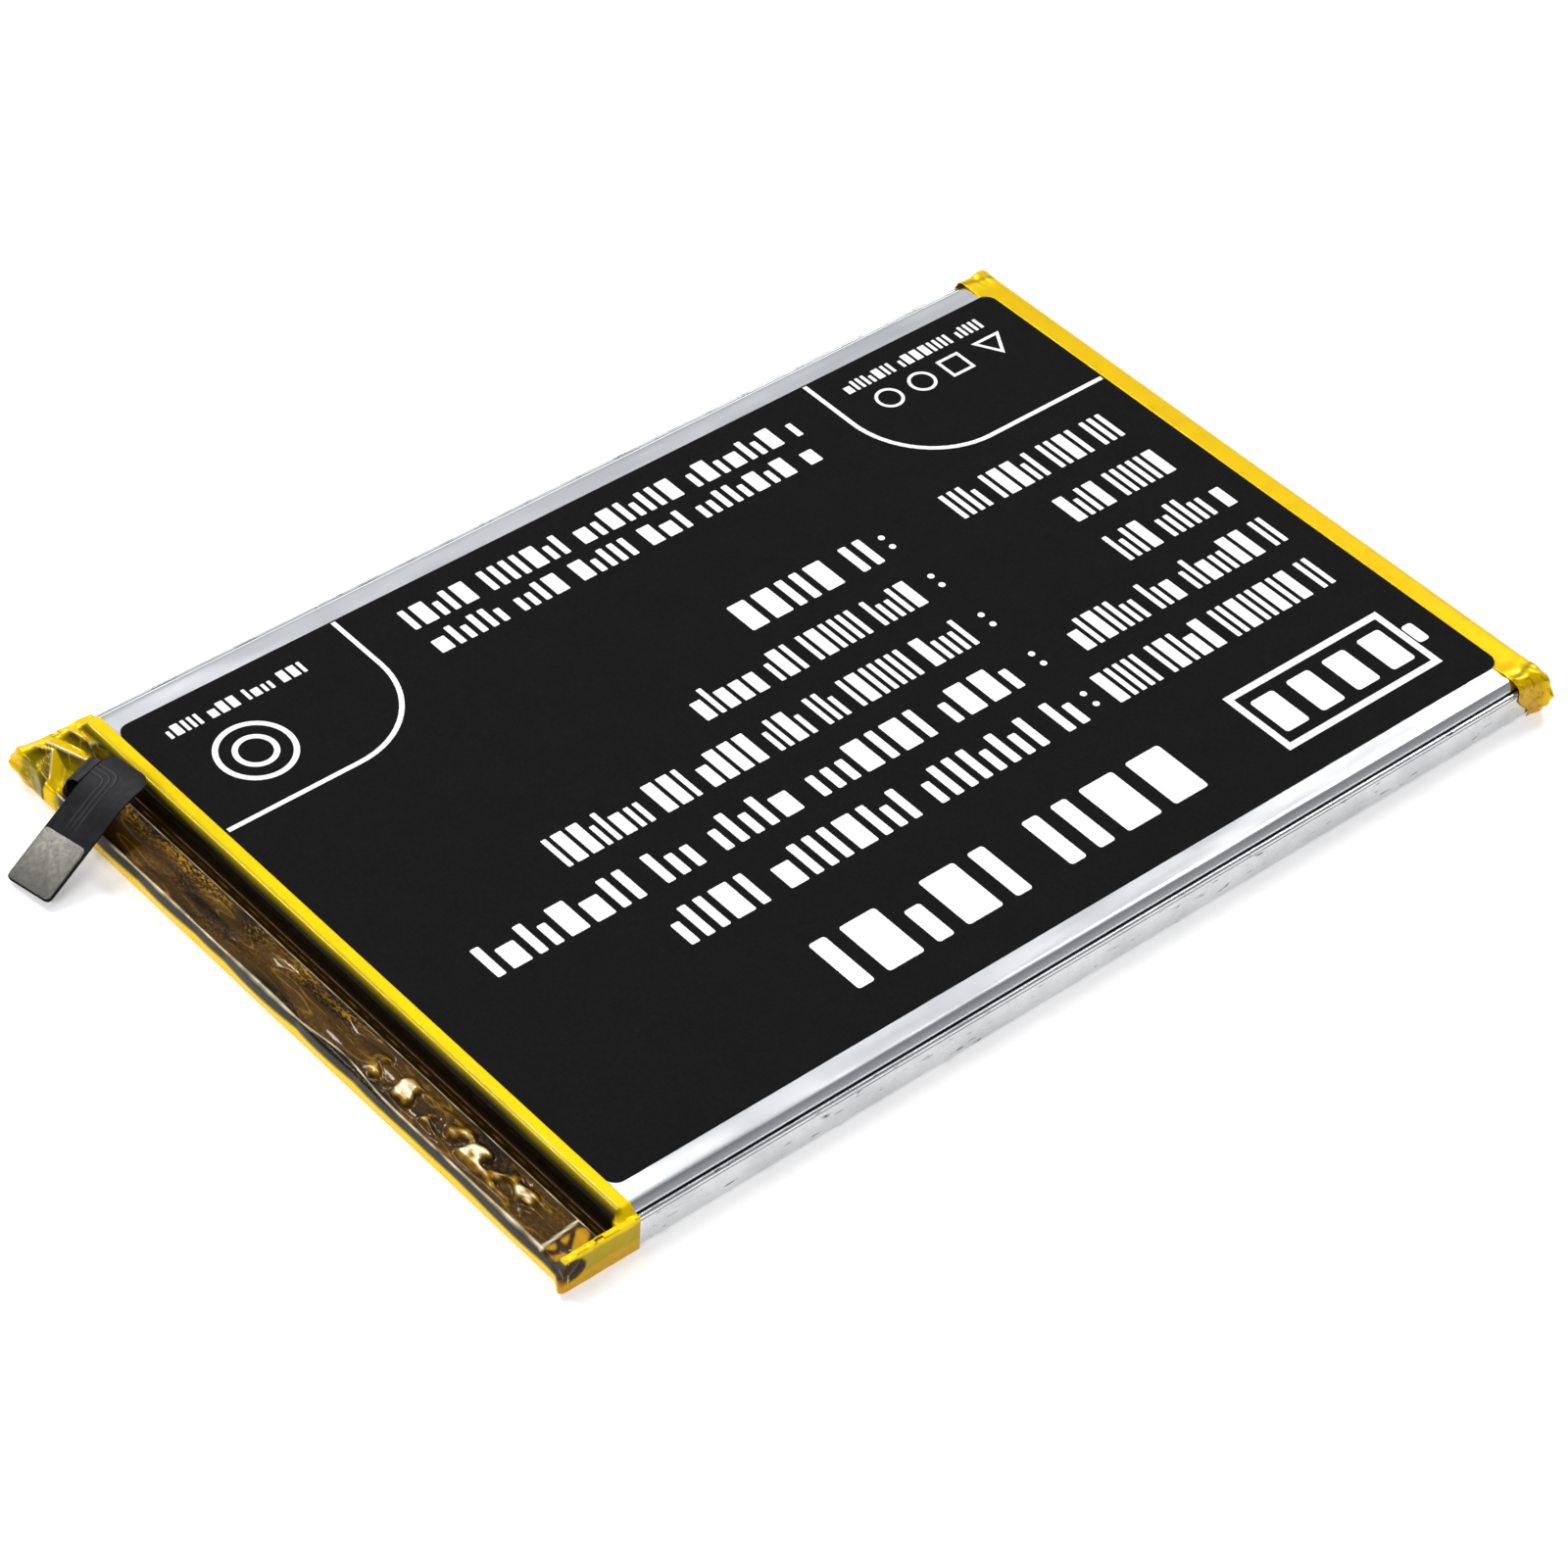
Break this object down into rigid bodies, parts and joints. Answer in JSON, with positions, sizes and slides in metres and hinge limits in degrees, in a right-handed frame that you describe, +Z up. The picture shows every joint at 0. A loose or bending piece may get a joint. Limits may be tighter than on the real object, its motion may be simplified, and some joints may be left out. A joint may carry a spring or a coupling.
{
  "type": "pouch battery cell",
  "caption": "Flat lithium pouch cell with a black label, taped ends, a protection board on its terrace and a short flex tail with a connector.",
  "frame": {"origin": "centre of the flat back face, midway along the pack and across the pouch", "axes": "+X across the pack, +Y along it away from the terrace and flex tail, +Z up through the label"},
  "size_m": [0.068, 0.1094, 0.0056],
  "materials": {
    "label_print": "matt black printed film label",
    "laminate": "satin aluminium laminate film",
    "polyimide_tape": "glossy amber polyimide tape",
    "copper_coat": "graphite coated copper foil",
    "aluminium_coat": "oxide coated aluminium foil",
    "separator_film": "white porous film",
    "inner_tape": "thin green holding tape",
    "tab_nickel": "nickel strip",
    "tab_aluminium": "aluminium strip",
    "sealant": "translucent polypropylene",
    "foam": "black closed cell foam",
    "circuit_board": "green solder mask",
    "chip_body": "black moulded package",
    "ceramic_chip": "fired ceramic with tinned ends",
    "insulating_sheet": "dark insulating sheet",
    "flex_cover": "black cover film",
    "solder": "bright solder",
    "steel_plate": "mottled rolled steel",
    "connector_plastic": "moulded nylon",
    "contact_gold": "gold plated"
  },
  "bodies": {
    "root": {"pouch_cup": "laminate", "pouch_lid": "laminate", "side_seal_left": "laminate", "side_seal_right": "laminate", "anode_foil": "copper_coat", "cathode_foil": "aluminium_coat", "separator_inner": "separator_film", "separator_outer": "separator_film", "roll_tape": "inner_tape", "tab_negative": "tab_nickel", "tab_positive": "tab_aluminium", "tab_sealant_negative": "sealant", "tab_sealant_positive": "sealant", "terrace_pad": "foam", "pcm_board": "circuit_board", "nickel_plate_negative": "tab_nickel", "nickel_plate_positive": "tab_nickel", "pcm_mosfets": "chip_body", "pcm_control_chips": "chip_body", "pcm_resistors": "chip_body", "pcm_capacitors": "ceramic_chip", "pcm_fuse": "ceramic_chip", "pcm_thermistor": "ceramic_chip", "pcm_cover_sheet": "insulating_sheet", "terrace_tape": "polyimide_tape", "tail_tape": "polyimide_tape", "label": "label_print", "flex_root": "flex_cover", "flex_solder_joints": "solder"},
    "flex_arm_body": {"flex_arm": "flex_cover"},
    "flex_tail_body": {"flex_tail": "flex_cover", "stiffener_plate": "steel_plate", "connector_housing": "connector_plastic", "connector_contacts": "contact_gold", "connector_power_blades": "contact_gold"}
  },
  "joints": [
    {"name": "flex_fold", "type": "hinge", "parent": "root", "child": "flex_arm_body", "pos_m": [-0.02715, -0.04903, 0.00478], "axis": [0.1321, -0.9643, -0.2295], "range_deg": [-8, 60], "stiffness_Nm_per_rad": 0.0002},
    {"name": "flex_bend", "type": "hinge", "parent": "flex_arm_body", "child": "flex_tail_body", "pos_m": [-0.02669, -0.0516, 0.00386], "axis": [0.987, 0.1352, 0.0872], "range_deg": [-60, 12], "stiffness_Nm_per_rad": 0.0001}
  ]
}
